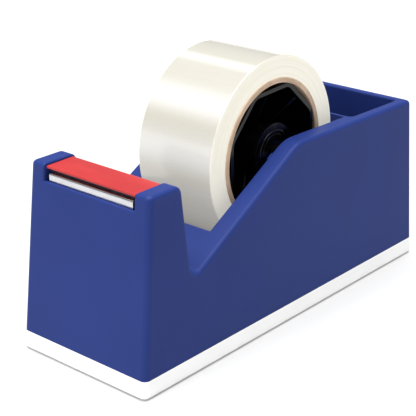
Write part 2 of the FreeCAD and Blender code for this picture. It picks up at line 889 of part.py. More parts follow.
def adapter_rib(index, half):
    """Rib from the sleeve to the middle of a flat of the rim; its outer edge slopes in towards the hub."""
    inner = spindle_radius + sleeve_wall / 2
    outer = adapter_apothem() - adapter_wall / 2
    points = [(inner, 0), (inner, half - rib_hub_depth), (outer, half - rib_rim_depth), (outer, 0)]
    side = [FreeCAD.Vector(r, y, -rib_thickness / 2) for r, y in points]
    face = Part.Face(Part.makePolygon(side + side[:1]))
    rib = face.extrude(FreeCAD.Vector(0, 0, rib_thickness))
    turn = -(adapter_turn + 360.0 / adapter_sides * (index + 0.5))
    rib.rotate(FreeCAD.Vector(0, 0, 0), FreeCAD.Vector(0, 1, 0), turn)
    rib.translate(FreeCAD.Vector(axle_x, 0, axle_z))
    return rib


def adapter_half():
    """The +Y half of the drum that fits a three-inch core."""
    half = core_width / 2 - adapter_recess
    apothem = adapter_apothem()
    sleeve = spindle_radius + sleeve_wall
    rim = polygon_rod(apothem, 0, half, adapter_corner_round)
    rim = rim.cut(polygon_rod(apothem - adapter_wall, 0, half, adapter_corner_round - adapter_wall))
    parts = [
        rim,
        polygon_rod(apothem - adapter_wall / 2, 0, adapter_web, adapter_corner_round - adapter_wall / 2),
        rod_y(sleeve, axle_x, axle_z, 0, half),
        rod_y(sleeve_flange_radius, axle_x, axle_z, half - sleeve_flange, half),
    ]
    for i in range(adapter_sides):
        parts.append(adapter_rib(i, half))
    return joined(parts).cut(rod_y(spindle_radius, axle_x, axle_z, -overshoot, half + overshoot))


def tape_core():
    outer = core_bore_radius + core_wall
    return tube_y(outer, core_bore_radius, axle_x, axle_z, -core_width / 2, core_width / 2)


def tape_winding():
    inner = core_bore_radius + core_wall
    return tube_y(roll_radius, inner, axle_x, axle_z, -film_half, film_half)


# Drawer

def scoop():
    """Half-round finger notch through the drawer's outer end."""
    top = drawer_top + drawer_front_rise
    centre = top + scoop_radius - scoop_depth
    return rod(scoop_radius, (rear_x(0) - end_reach, 0, centre), TO_REAR, far)


def drawer_inside():
    return body_block(0, drawer_roof + drawer_head_gap, drawer_front_thickness)


def lug():
    """Stop on the tray's side that meets the inside of the shell when the drawer is open."""
    z1 = drawer_top - lug_drop
    x1 = rear_x(z1) - shell_wall - stop_gap - drawer_travel
    return box(x1 - lug_length, x1, drawer_half - drawer_wall, drawer_half + lug_reach, z1 - lug_height, z1)


def drawer_screw_seats():
    z = (drawer_bottom + drawer_top) / 2
    x = rear_x(z) - drawer_front_thickness - drawer_wall
    return [(x, y, z) for y in (-drawer_screw_half_span, drawer_screw_half_span)]


def drawer_screws():
    return Part.makeCompound([screw(drawer_screw, seat, TO_REAR) for seat in drawer_screw_seats()])


def drawer_tray():
    """Open box with a stop on each side, cut to the lean of the drawer front."""
    tray = both_sides(drawer_half, drawer_back_x, far, drawer_bottom, drawer_top).common(drawer_inside())
    hollow = both_sides(
        drawer_half - drawer_wall,
        drawer_back_x + drawer_wall,
        far,
        drawer_bottom + drawer_floor,
        far,
    )
    inner_end = body_block(0, drawer_top + drawer_head_gap, drawer_front_thickness + drawer_wall)
    tray = tray.cut(hollow.common(inner_end))
    tray = joined([tray] + on_both_sides(lug()))
    return tray.cut([scoop(), drawer_screws()])


def drawer_front():
    """Panel that closes the drawer's doorway, flush with the leaning end of the body."""
    slab = both_sides(
        drawer_front_half,
        rear_x(0) - end_reach,
        far,
        band_top + drawer_gap,
        drawer_top + drawer_front_rise,
    )
    slab = slab.common(body_block(0, drawer_roof + drawer_head_gap, 0))
    return slab.cut([drawer_inside(), scoop(), drawer_screws()])


os.makedirs("parts", exist_ok=True)
save("body_shell", body_shell())
save("base_tray", base_tray())
save("base_screws", base_screws())
save("rubber_feet", rubber_feet())
save("front_ballast", front_ballast())
save("centre_ballast", centre_ballast())
save("ballast_screws", ballast_screws())
save("cutter_block", cutter_block())
save("cutter_block_screws", cutter_block_screws())
save("cutter_blade", cutter_blade())
save("blade_clamp_bar", blade_clamp_bar())
save("blade_screws", blade_screws())
save("guard_pins", guard_pins())
save("blade_guard", blade_guard())
save("axle_shaft", axle_shaft())
save("spindle_drum", spindle_drum())
save("spindle_bushes", spindle_bushes())
save("core_adapter_left", adapter_half())
save("core_adapter_right", mirrored(adapter_half()))
save("tape_core", tape_core())
save("tape_winding", tape_winding())
save("drawer_tray", drawer_tray())
save("drawer_front", drawer_front())
save("drawer_screws", drawer_screws())
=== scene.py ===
import json
import math
import bmesh
import bpy
import numpy as np
from mathutils import Matrix, Vector


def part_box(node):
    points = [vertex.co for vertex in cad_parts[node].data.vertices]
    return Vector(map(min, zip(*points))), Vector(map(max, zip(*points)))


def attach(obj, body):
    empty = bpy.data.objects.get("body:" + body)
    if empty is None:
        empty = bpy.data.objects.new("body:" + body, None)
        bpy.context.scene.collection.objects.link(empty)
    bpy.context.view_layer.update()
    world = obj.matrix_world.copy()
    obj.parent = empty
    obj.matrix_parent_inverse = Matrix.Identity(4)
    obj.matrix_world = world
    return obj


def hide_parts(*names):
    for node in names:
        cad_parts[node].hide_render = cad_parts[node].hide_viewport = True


# Desk tape dispenser: a blue body on a white base, a roll of clear packing tape on a black hub,
# a red guard over the blade, a pen compartment and a drawer. Lengths are in metres.

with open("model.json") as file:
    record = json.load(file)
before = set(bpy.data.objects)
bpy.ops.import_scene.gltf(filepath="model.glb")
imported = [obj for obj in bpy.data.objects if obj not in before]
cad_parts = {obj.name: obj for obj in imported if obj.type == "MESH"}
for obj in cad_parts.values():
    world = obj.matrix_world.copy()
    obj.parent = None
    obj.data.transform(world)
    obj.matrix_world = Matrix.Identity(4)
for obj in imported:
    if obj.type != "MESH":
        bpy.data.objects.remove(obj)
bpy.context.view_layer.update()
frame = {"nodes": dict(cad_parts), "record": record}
nodes = frame["nodes"]
mm = 0.001
sameWithin = 0.001 * mm  # points this near are one
print("frame loaded:", len(nodes), "nodes")


class Sock:
    # one output socket; arithmetic on it adds the Math nodes that do the sum
    def __init__(self, shader, socket):
        self.shader = shader
        self.socket = socket

    def math(self, operation, one, two=0.0):
        return self.shader.node("ShaderNodeMath", {"operation": operation}, {0: one, 1: two})

    def __add__(self, other):
        return self.math("ADD", self, other)

    def __radd__(self, other):
        return self.math("ADD", other, self)

    def __sub__(self, other):
        return self.math("SUBTRACT", self, other)

    def __rsub__(self, other):
        return self.math("SUBTRACT", other, self)

    def __mul__(self, other):
        return self.math("MULTIPLY", self, other)

    def __rmul__(self, other):
        return self.math("MULTIPLY", other, self)

    def __truediv__(self, other):
        return self.math("DIVIDE", self, other)

    def __rtruediv__(self, other):
        return self.math("DIVIDE", other, self)

    def __pow__(self, other):
        return self.math("POWER", self, other)

    def fraction(self):
        return self.math("FRACT", self)

    def size(self):
        return self.math("ABSOLUTE", self)


class Shader:
    # a new material and the one way to add a node to it
    def __init__(self, name):
        self.material = bpy.data.materials.new(name)
        self.material.use_nodes = True
        self.tree = self.material.node_tree
        self.tree.nodes.clear()
        self.output = self.tree.nodes.new("ShaderNodeOutputMaterial")

    def node(self, kind, settings=None, inputs=None, out=0):
        made = self.tree.nodes.new(kind)
        for key, value in (settings or {}).items():
            setattr(made, key, value)
        for key, value in (inputs or {}).items():
            if isinstance(value, Sock):
                self.tree.links.new(value.socket, made.inputs[key])
            else:
                made.inputs[key].default_value = value
        return Sock(self, made.outputs[out])

    def place(self):  # the point's own place, in metres
        return self.node("ShaderNodeTexCoord", out="Object")

    def mapped(self, place, scale, turn=(0.0, 0.0, 0.0)):  # a scale under 1 draws the pattern out
        return self.node("ShaderNodeMapping", {}, {"Vector": place, "Rotation": turn, "Scale": scale})

    def axes(self, place):
        made = self.node("ShaderNodeSeparateXYZ", inputs={0: place}).socket.node
        return [Sock(self, made.outputs[i]) for i in range(3)]

    def joined(self, first, second):  # two numbers as the first two of a vector's
        return self.node("ShaderNodeCombineXYZ", {}, {0: first, 1: second})

    def noise(self, place, size, detail=2.0, rough=0.5):  # size is that of one blotch
        inputs = {"Vector": place, "Scale": 1.0 / size, "Detail": detail, "Roughness": rough}
        return self.node("ShaderNodeTexNoise", {}, inputs)

    def patches(self, place, size, low, high, detail=2.0, rough=0.5):  # noise, cut between two levels
        return self.smooth(self.noise(place, size, detail, rough), low, high)

    def smooth(self, value, low, high, start=0.0, end=1.0):
        settings = {"interpolation_type": "SMOOTHSTEP"}
        return self.node("ShaderNodeMapRange", settings, {0: value, 1: low, 2: high, 3: start, 4: end})

    def mix(self, factor, one, two):
        return self.node("ShaderNodeMix", {"data_type": "RGBA"}, {0: factor, 6: one, 7: two}, out=2)

    def bump(self, height, distance, strength):
        return self.node("ShaderNodeBump", {}, {"Height": height, "Distance": distance, "Strength": strength})

    def finish(self, values):  # values are those of the shader's own sockets
        surface = self.node("ShaderNodeBsdfPrincipled", {}, values)
        self.tree.links.new(surface.socket, self.output.inputs["Surface"])
        return self.material


def rgb(red, green, blue):  # screen colour, 0 to 255, as linear light
    def linear(c):
        c = c / 255.0
        return c / 12.92 if c <= 0.04045 else ((c + 0.055) / 1.055) ** 2.4
    return (linear(red), linear(green), linear(blue), 1.0)


def grey(level):
    return (level, level, level, 1.0)


white = grey(1.0)

# In a look, noise is (size, detail, roughness), a patch is (size, low, high, detail, roughness), with
# the noise cut between low and high, a scale draws a pattern out, and bump is (depth, strength).
shellLook = {
    "blue": rgb(32, 48, 107), "cloud": rgb(35, 51, 111), "scuff": rgb(63, 79, 138),
    "cloudPatch": (45 * mm, 0.3, 0.7, 3.0), "cloudRough": 0.07,
    "nickPatch": (4 * mm, 0.66, 0.74, 4.0, 0.7), "nickScale": (1.0, 1.0, 5.0),
    "nickShow": 0.16, "nickHighUp": 0.25, "nickRough": 0.10, "nickDepth": 0.5,
    "grain": (0.9 * mm, 3.0, 0.6), "fineGrain": (0.3 * mm, 2.0), "fineShare": 0.6, "bump": (0.03 * mm, 0.45),
    "scuffedHeights": (26 * mm, 11 * mm), "rubbedHeights": (96 * mm, 104 * mm), "polish": 0.10,
    "rough": 0.46, "shine": 0.1,
}


def shellBlue():
    s, look = Shader("shellBlue"), shellLook
    place = s.place()
    height = s.axes(place)[2]
    cloud = s.patches(place, *look["cloudPatch"])
    grain = s.noise(place, *look["grain"]) + look["fineShare"] * s.noise(place, *look["fineGrain"])
    nick = s.patches(s.mapped(place, look["nickScale"]), *look["nickPatch"])
    nearFoot = s.smooth(height, *look["scuffedHeights"])
    rubbed = s.smooth(height, *look["rubbedHeights"])  # hands polish the tops
    where = look["nickHighUp"] + (1 - look["nickHighUp"]) * nearFoot
    colour = s.mix(cloud, look["blue"], look["cloud"])
    colour = s.mix(look["nickShow"] * nick * where, colour, look["scuff"])
    rough = look["rough"] + look["cloudRough"] * cloud + look["nickRough"] * nick
    return s.finish({
        "Base Color": colour, "Roughness": rough - look["polish"] * rubbed,
        "Normal": s.bump(grain - look["nickDepth"] * nick, *look["bump"]),
        "Specular IOR Level": look["shine"],
    })


whiteLook = {
    "tray": rgb(246, 246, 245), "drawer": rgb(242, 243, 245),
    "grey": rgb(206, 208, 214), "dust": rgb(186, 182, 172),
    "cloudPatch": (30 * mm, 0.3, 0.7, 3.0), "cloudShow": 0.10, "cloudRough": 0.06,
    "speckPatch": (1.6 * mm, 0.70, 0.76, 3.0, 0.7), "speckShow": 0.25,
    "grimePatch": (9 * mm, 0.35, 0.65, 4.0, 0.6), "grimeHeights": (3.5 * mm, 1.0 * mm),
    "grimeShow": 0.35, "grimeRough": 0.15,
    "grain": (0.7 * mm, 3.0, 0.6), "bump": (0.025 * mm, 0.35), "rough": 0.40,
}


def whitePlastic(name, colour):
    s, look = Shader(name), whiteLook
    place = s.place()
    height = s.axes(place)[2]
    cloud = s.patches(place, *look["cloudPatch"])
    grain = s.noise(place, *look["grain"])
    speck = s.patches(place, *look["speckPatch"])
    grime = s.patches(place, *look["grimePatch"]) * s.smooth(height, *look["grimeHeights"])
    shade = s.mix(look["cloudShow"] * cloud, colour, look["grey"])
    shade = s.mix(look["grimeShow"] * grime + look["speckShow"] * speck, shade, look["dust"])
    return s.finish({
        "Base Color": shade,
        "Roughness": look["rough"] + look["cloudRough"] * cloud + look["grimeRough"] * grime,
        "Normal": s.bump(grain, *look["bump"]),
    })


rubberLook = {
    "black": rgb(38, 38, 40), "dusty": rgb(82, 80, 76), "rough": 0.82,
    "dustPatch": (2.5 * mm, 0.45, 0.70, 5.0, 0.65), "dustShow": 0.5, "dustRough": 0.1,
    "soleHeights": (0.8 * mm, 0.1 * mm), "soleShow": 0.2,
    "pores": (0.35 * mm, 2.0), "bump": (0.05 * mm, 0.6),
}


def footRubber():
    s, look = Shader("footRubber"), rubberLook
    place = s.place()
    dust = s.patches(place, *look["dustPatch"])
    sole = s.smooth(s.axes(place)[2], *look["soleHeights"])
    pores = s.noise(place, *look["pores"])
    shade = s.mix(look["dustShow"] * dust + look["soleShow"] * sole, look["black"], look["dusty"])
    return s.finish({
        "Base Color": shade, "Roughness": look["rough"] + look["dustRough"] * dust,
        "Normal": s.bump(pores, *look["bump"]),
    })


ironLook = {
    "grey": rgb(86, 86, 90), "dark": rgb(52, 52, 56), "rust": rgb(112, 70, 46),
    "cloudPatch": (14 * mm, 0.35, 0.65, 4.0),
    "rustPatch": (7 * mm, 0.60, 0.72, 5.0, 0.7), "rustShow": 0.6, "rustRough": 0.2, "rustMetal": 0.7,
    "sand": (1.1 * mm, 4.0, 0.65), "sandRough": 0.1, "bump": (0.25 * mm, 0.7),
    "rough": 0.68, "metal": 0.8,
}


def castIron():
    s, look = Shader("castIron"), ironLook
    place = s.place()
    sand = s.noise(place, *look["sand"])
    cloud = s.patches(place, *look["cloudPatch"])
    rust = s.patches(place, *look["rustPatch"])
    shade = s.mix(cloud, look["grey"], look["dark"])
    shade = s.mix(look["rustShow"] * rust, shade, look["rust"])
    return s.finish({
        "Base Color": shade, "Roughness": look["rough"] + look["rustRough"] * rust + look["sandRough"] * sand,
        "Metallic": look["metal"] - look["rustMetal"] * rust, "Normal": s.bump(sand, *look["bump"]),
    })


zincLook = {
    "bright": rgb(196, 197, 202), "dull": rgb(150, 150, 156), "tint": rgb(190, 186, 196),
    "cloudPatch": (3 * mm, 0.35, 0.65, 4.0, 0.6), "cloudRough": 0.18,
    "lines": (0.8 * mm, 3.0), "lineScale": (1.0, 1.0, 12.0), "lineShow": 0.3, "bump": (0.01 * mm, 0.4),
    "rough": 0.28,
}


def zincPlate():
    s, look = Shader("zincPlate"), zincLook
    place = s.place()
    cloud = s.patches(place, *look["cloudPatch"])
    lines = s.noise(s.mapped(place, look["lineScale"]), *look["lines"])
    shade = s.mix(cloud, look["bright"], look["dull"])
    shade = s.mix(look["lineShow"] * lines, shade, look["tint"])
    return s.finish({
        "Base Color": shade, "Roughness": look["rough"] + look["cloudRough"] * cloud,
        "Metallic": 1.0, "Normal": s.bump(lines, *look["bump"]),
    })


# The cutter block is dark navy, darker than the shell, to stand in for the shade in the gap under the guard:
# painted shade.
shadeNavyLook = {
    "navy": rgb(20, 25, 54), "worn": rgb(34, 40, 76),
    "cloudPatch": (8 * mm, 0.4, 0.65, 4.0), "cloudShow": 0.5, "cloudRough": 0.1,
    "grain": (0.6 * mm, 3.0, 0.6), "bump": (0.03 * mm, 0.5), "rough": 0.5, "shine": 0.3,
}


def cutterNavy():
    s, look = Shader("cutterNavy"), shadeNavyLook
    place = s.place()
    grain = s.noise(place, *look["grain"])
    cloud = s.patches(place, *look["cloudPatch"])
    return s.finish({
        "Base Color": s.mix(look["cloudShow"] * cloud, look["navy"], look["worn"]),
        "Roughness": look["rough"] + look["cloudRough"] * cloud,
        "Normal": s.bump(grain, *look["bump"]), "Specular IOR Level": look["shine"],
    })


# The dark coat colour is painted shade, standing in for the shade under the guard.
bladeLook = {  # "bareBelowTips" is where the coating ends, and where the bare steel is clean
    "coat": rgb(28, 31, 50), "edge": rgb(186, 190, 200), "glue": rgb(120, 118, 106),
    "bareBelowTips": (0.9 * mm, 0.1 * mm), "metal": 0.35, "bareMetal": 0.6,
    "gluePatch": (2.2 * mm, 0.62, 0.72, 4.0, 0.7), "glueShow": 0.25, "glueRough": 0.2,
    "lines": (0.12 * mm, 3.0), "lineScale": (1.0, 0.05, 1.0), "lineRough": 0.12, "bump": (0.01 * mm, 0.5),
    "rough": 0.34,
}


def coatedBlade():  # dark coating, whose darkness is painted shade for the gap under the guard; bare steel along the ground teeth
    s, look = Shader("coatedBlade"), bladeLook
    place = s.place()
    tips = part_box("cutter_blade")[1].z
    lines = s.noise(s.mapped(place, look["lineScale"]), *look["lines"])
    glue = s.patches(place, *look["gluePatch"])
    bare = s.smooth(s.axes(place)[2], *[tips - below for below in look["bareBelowTips"]])
    shade = s.mix(bare, look["coat"], look["edge"])
    shade = s.mix(look["glueShow"] * glue, shade, look["glue"])
    return s.finish({
        "Base Color": shade,
        "Roughness": look["rough"] + look["lineRough"] * lines + look["glueRough"] * glue,
        "Metallic": look["metal"] + look["bareMetal"] * bare, "Normal": s.bump(lines, *look["bump"]),
    })


chromeLook = {
    "bright": rgb(206, 206, 209), "haze": rgb(192, 193, 197), "rough": 0.16,
    "hazePatch": (3 * mm, 0.4, 0.7, 4.0, 0.6), "hazeScale": (1.0, 0.25, 1.0), "hazeRough": 0.10,
    "hairs": (0.1 * mm, 2.0), "hairScale": (1.0, 0.02, 1.0), "hairRough": 0.05, "bump": (0.002 * mm, 0.25),
}


def clampChrome():
    s, look = Shader("clampChrome"), chromeLook
    place = s.place()
    haze = s.patches(s.mapped(place, look["hazeScale"]), *look["hazePatch"])
    hair = s.noise(s.mapped(place, look["hairScale"]), *look["hairs"])
    return s.finish({
        "Base Color": s.mix(haze, look["bright"], look["haze"]),
        "Roughness": look["rough"] + look["hazeRough"] * haze + look["hairRough"] * hair,
        "Metallic": 1.0, "Normal": s.bump(hair, *look["bump"]),
    })


guardLook = {
    "red": rgb(168, 42, 42), "deep": rgb(157, 36, 38), "pale": rgb(196, 100, 94),
    "cloudPatch": (18 * mm, 0.35, 0.65, 3.0), "cloudScale": (1.0, 0.4, 1.0), "cloudRough": 0.08,
    "scratchPatch": (0.9 * mm, 0.68, 0.74, 3.0, 0.6), "scratchScale": (1.0, 0.06, 1.0),
    "scratchTurn": (0.0, 0.0, 0.5), "scratchShow": 0.18, "scratchRough": 0.12, "scratchDepth": 0.5,
    "grain": (0.6 * mm, 3.0, 0.6), "bump": (0.02 * mm, 0.35), "rough": 0.36, "shine": 0.35,
}


def guardRed():
    s, look = Shader("guardRed"), guardLook
    place = s.place()
    cloud = s.patches(s.mapped(place, look["cloudScale"]), *look["cloudPatch"])
    drawnOut = s.mapped(place, look["scratchScale"], look["scratchTurn"])
    scratch = s.patches(drawnOut, *look["scratchPatch"])
    grain = s.noise(place, *look["grain"])
    shade = s.mix(cloud, look["red"], look["deep"])
    shade = s.mix(look["scratchShow"] * scratch, shade, look["pale"])
    return s.finish({
        "Base Color": shade,
        "Roughness": look["rough"] + look["cloudRough"] * cloud + look["scratchRough"] * scratch,
        "Normal": s.bump(grain - look["scratchDepth"] * scratch, *look["bump"]),
        "Specular IOR Level": look["shine"],
    })


hubLook = {
    "black": rgb(3, 3, 4), "rubbed": rgb(11, 11, 12), "rough": 0.15, "shine": 0.25,
    "cloudPatch": (12 * mm, 0.4, 0.65, 4.0), "cloudShow": 0.4, "cloudRough": 0.10,
    "dustPatch": (1.3 * mm, 0.68, 0.78, 3.0, 0.7), "dustShow": 0.3, "dustRough": 0.2,
    "flow": (0.7 * mm, 3.0, 0.6), "flowScale": (1.0, 0.2, 1.0), "bump": (0.01 * mm, 0.3),
}


def hubBlack():
    s, look = Shader("hubBlack"), hubLook
    place = s.place()
    cloud = s.patches(place, *look["cloudPatch"])
    flow = s.noise(s.mapped(place, look["flowScale"]), *look["flow"])
    dust = s.patches(place, *look["dustPatch"])
    rubbed = look["cloudShow"] * cloud + look["dustShow"] * dust
    return s.finish({
        "Base Color": s.mix(rubbed, look["black"], look["rubbed"]),
        "Roughness": look["rough"] + look["cloudRough"] * cloud + look["dustRough"] * dust,
        "Normal": s.bump(flow, *look["bump"]), "Specular IOR Level": look["shine"],
    })


cardLook = {  # line widths are shares of a ply and of a turn
    "kraft": rgb(196, 168, 142), "dark": rgb(150, 118, 94), "pale": rgb(214, 190, 166),
    "ply": 0.48 * mm, "plyLine": 0.22, "turnRise": 34.1 * mm, "seamLine": 0.02,
    "lineShow": 0.5, "lineDepth": 0.8,
    "blotchPatch": (9 * mm, 0.35, 0.65, 3.0), "blotchShow": 0.35, "blotchRough": 0.05,
    "fibres": (0.8 * mm, 5.0, 0.7), "fibreScale": (1.0, 3.0, 1.0), "bump": (0.12 * mm, 0.6),
    "rough": 0.88,
}


def coreCard():  # wound kraft: ply rings on the ends, helical joins round the bore, short fibres all over
    s, look = Shader("coreCard"), cardLook
    place = s.place()
    along, around, far = rollAxes(s, place)
    fibre = s.noise(s.mapped(place, look["fibreScale"]), *look["fibres"])
    blotch = s.patches(place, *look["blotchPatch"])
    ply = s.smooth((far / look["ply"]).fraction(), 0.0, look["plyLine"], 1.0, 0.0)
    join = (along / look["turnRise"] + around / (2 * math.pi)).fraction()
    seam = s.smooth(join, 0.0, look["seamLine"], 1.0, 0.0)
    lines = ply + seam
    shade = s.mix(fibre, look["kraft"], look["pale"])
    shade = s.mix(look["blotchShow"] * blotch + look["lineShow"] * lines, shade, look["dark"])
    return s.finish({
        "Base Color": shade, "Roughness": look["rough"] + look["blotchRough"] * blotch,
        "Normal": s.bump(fibre - look["lineDepth"] * lines, *look["bump"]),
    })


def rollAxes(s, place):  # along the axle, angle round it, distance from it
    centre = rollCentre()
    x, y, z = s.axes(place)
    dx = x - centre.x
    dz = z - centre.z
    around = dz.math("ARCTAN2", dz, dx)
    far = (dx * dx + dz * dz) ** 0.5
    return y, around, far


def rollCentre():
    low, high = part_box("tape_winding")
    return (low + high) / 2


filmLook = {
    # the face's own colour is clear; the milky colour is a painted reflection, laid on in bands
    "clear": rgb(131, 130, 123), "milky": rgb(154, 153, 149),
    "edge": rgb(180, 176, 160), "pale": rgb(192, 189, 177), "amber": rgb(170, 164, 146),
    # the film glows though it is no lamp: painted light, brighter on the painted reflection bands
    "glowDim": rgb(230, 225, 208), "glowBright": rgb(255, 255, 251), "glowEnd": rgb(234, 232, 222),
    "glow": 0.47, "faceRough": 0.22, "endRough": 0.46, "coat": 0.8, "coatRough": 0.12,
    "milk": 0.15, "milkTint": (1.0, 0.9, 0.7), "milkReach": 2.5 * mm,
    # distances in from the outer face and from the end where one finish passes into the other; the pale line
    # at the ends of the face is a painted highlight
    "faceDepths": (0.9 * mm, 0.4 * mm), "rimDepths": (0.8 * mm, 0.1 * mm), "rimShow": 0.5,
    "streak": (9 * mm, 1.0, 0.4), "streakScale": (1.0, 0.03, 1.0),
    "streakShow": 0.16, "streakSway": 5.0, "streakRough": 0.10, "streakDepth": 0.35,
    # layers: how wide a line is, how far it drifts in a turn, the noise, where it is cut
    "layer": 0.34 * mm, "layerDrift": 0.35, "layers": (1.0, 4.0, 0.6), "layerCut": (0.35, 0.65),
    "ring": 2.04 * mm, "ringDrift": 0.5, "rings": (1.0, 2.0), "ringCut": (0.50, 0.68),
    "ringShow": 0.3, "layerDepth": 0.5, "bump": (0.05 * mm, 0.5),
    # painted reflection bands round the face: angle round the roll and half width in degrees, strength
    "bands": [
        (140, 14, 1.0), (110, 6, 0.9), (171, 17, 0.75), (64, 13, 0.6),
        (18, 8, 0.9), (245, 17, 0.7), (292, 8, 0.9), (330, 12, 0.5),
    ],
}


def tapeFilm():  # clear film over many layers: painted reflection bands across the face, layer lines on the ends
    s, look = Shader("tapeFilm"), filmLook
    place = s.place()
    along, around, far = rollAxes(s, place)
    low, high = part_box("tape_winding")
    outer = (high.z - low.z) / 2
    half = (high.y - low.y) / 2
    onFace = s.smooth(far, *[outer - depth for depth in look["faceDepths"]])
    rim = s.smooth(along.size(), *[half - depth for depth in look["rimDepths"]])
    turns = around / (2 * math.pi)
    streak = s.noise(s.mapped(place, look["streakScale"]), *look["streak"])
    # painted reflections: lighter bands round the face at fixed angles, with streaks through them
    paintedBand = look["streakShow"] * streak
    for angle, width, strength in look["bands"]:
        away = 360.0 * ((turns - angle / 360.0 + 1.5).fraction() - 0.5).size()
        paintedBand = paintedBand + strength * s.smooth(away + look["streakSway"] * (streak - 0.5), width, 0.0)
    layers = s.noise(s.joined(far / look["layer"], look["layerDrift"] * around), *look["layers"])
    rings = s.noise(s.joined(far / look["ring"], look["ringDrift"] * around), *look["rings"])
    face = s.mix(paintedBand, look["clear"], look["milky"])
    ends = s.mix(s.smooth(layers, *look["layerCut"]), look["edge"], look["pale"])
    ends = s.mix(look["ringShow"] * s.smooth(rings, *look["ringCut"]), ends, look["amber"])
    shade = s.mix(onFace, ends, face)
    # painted highlight: a pale line along both edges of the face
    shade = s.mix(look["rimShow"] * rim * onFace, shade, look["pale"])
    # painted light: the film glows, more on the painted reflection bands
    glow = s.mix(onFace, look["glowEnd"], s.mix(paintedBand, look["glowDim"], look["glowBright"]))
    smoother = (look["endRough"] - look["faceRough"]) * onFace
    height = (1.0 - onFace) * look["layerDepth"] * layers + onFace * look["streakDepth"] * streak
    return s.finish({
        "Base Color": shade, "Roughness": look["endRough"] - smoother + look["streakRough"] * streak,
        "Coat Weight": look["coat"] * onFace, "Coat Roughness": look["coatRough"],
        "Subsurface Weight": look["milk"], "Subsurface Radius": look["milkTint"],
        "Subsurface Scale": look["milkReach"],
        "Emission Color": glow, "Emission Strength": look["glow"],
        "Normal": s.bump(height, *look["bump"]),
    })


finishes = {
    "shell_blue": shellBlue(),
    "base_white": whitePlastic("baseWhite", whiteLook["tray"]),
    "foot_rubber": footRubber(),
    "ballast_iron": castIron(),
    "zinc_screw": zincPlate(),
    "cutter_navy": cutterNavy(),
    "blade_steel": coatedBlade(),
    "clamp_chrome": clampChrome(),
    "guard_red": guardRed(),
    "hub_black": hubBlack(),
    "core_card": coreCard(),
    "tape_film": tapeFilm(),
    "drawer_white": whitePlastic("drawerWhite", whiteLook["drawer"]),
}
slotOf = {part["node"]: part["material_slot"] for part in frame["record"]["subparts"]}
bodyOf = {node: body for body, names in frame["record"]["behaviour"]["bodies"].items() for node in names}
for nodeName, slotName in slotOf.items():
    nodes[nodeName].data.materials.clear()
    nodes[nodeName].data.materials.append(finishes[slotName])
print("finishes made:", len(finishes))


def pieceName(nodeName):
    return nodeName.title().replace("_", "")


def addPiece(name, mesh, nodeName, smoothAngle=35.0):
    # a shown piece that stands for one CAD node; edges sharper than the angle in degrees stay sharp
    piece = bpy.data.objects.new(name, mesh)
    bpy.context.scene.collection.objects.link(piece)
    mesh.materials.clear()
    mesh.materials.append(finishes[slotOf[nodeName]])
    mesh.polygons.foreach_set("use_smooth", np.ones(len(mesh.polygons), dtype=bool))
    mesh.set_sharp_from_angle(angle=math.radians(smoothAngle))
    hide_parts(nodeName)
    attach(piece, bodyOf[nodeName])
    return piece


def gridFaces(rows, columns, closeRows=False, closeColumns=False):
    # faces of a rows by columns grid of points, wrapped round where asked
    r = np.arange(rows if closeRows else rows - 1)
    c = np.arange(columns if closeColumns else columns - 1)
    r, c = np.meshgrid(r, c, indexing="ij")
    up = (r + 1) % rows
    on = (c + 1) % columns
    corners = np.stack([r * columns + c, r * columns + on, up * columns + on, up * columns + c], axis=-1)
    return corners.reshape(-1, 4)


def meshFrom(name, grids):
    # one mesh from (points, faces) grids: doubles merged, then every face turned outwards
    points = []
    faces = []
    count = 0
    for grid, cells in grids:
        points.append(grid.reshape(-1, 3))
        faces.append(cells + count)
        count += points[-1].shape[0]
    mesh = bpy.data.meshes.new(name)
    mesh.from_pydata(np.concatenate(points).tolist(), [], np.concatenate(faces).tolist())
    work = bmesh.new()
    work.from_mesh(mesh)
    bmesh.ops.remove_doubles(work, verts=work.verts, dist=sameWithin)
    bmesh.ops.dissolve_degenerate(work, edges=work.edges, dist=sameWithin)
    bmesh.ops.recalc_face_normals(work, faces=work.faces)
    work.to_mesh(mesh)
    work.free()
    mesh.update()
    return mesh


def roundedLoop(low, high, radii, steps=6):
    # closed profile of a rectangle between two corners, each (distance from the axle, place along it);
    # every corner of it is an arc between its two tangent points
    corners = np.array([low, (high[0], low[1]), high, (low[0], high[1])])
    made = []
    for i, radius in enumerate(radii):
        here = corners[i]
        back = corners[i - 1] - here
        on = corners[(i + 1) % len(corners)] - here
        back = back / np.linalg.norm(back)
        on = on / np.linalg.norm(on)
        half = math.acos(float(np.clip(back @ on, -1.0, 1.0))) / 2
        reach = radius / math.tan(half)
        middle = here + (back + on) / np.linalg.norm(back + on) * radius / math.sin(half)
        start = here + back * reach - middle
        end = here + on * reach - middle
        t = np.linspace(0.0, 1.0, steps)[:, None]
        sweep = math.acos(float(np.clip(start @ end / radius ** 2, -1.0, 1.0)))
        made.append(middle + (np.sin((1 - t) * sweep) * start + np.sin(t * sweep) * end) / math.sin(sweep))
    return np.concatenate(made)


def densify(loop, longest):
    # closed profile with extra points, so that no step is longer than this
    made = []
    for start, end in zip(loop, np.roll(loop, -1, axis=0)):
        steps = max(1, int(math.ceil(np.linalg.norm(end - start) / longest)))
        t = np.linspace(0.0, 1.0, steps, endpoint=False)[:, None]
        made.append((1 - t) * start + t * end)
    return np.concatenate(made)


def asColumns(points):
    return points[:, 0][:, None], points[:, 1][:, None]


def fullTurn(count):
    return np.linspace(0.0, 2 * math.pi, count, endpoint=False)[None, :]


def ringMesh(name, radius, along, angle):
    # closed ring round the axle: points at a radius and an angle round it, and a place along it
    centre = rollCentre()
    x = centre.x + radius * np.cos(angle)
    z = centre.z + radius * np.sin(angle)
    points = np.stack([x, along + 0 * angle, z], axis=-1)
    return meshFrom(name, [(points, gridFaces(*points.shape[:2], True, True))])


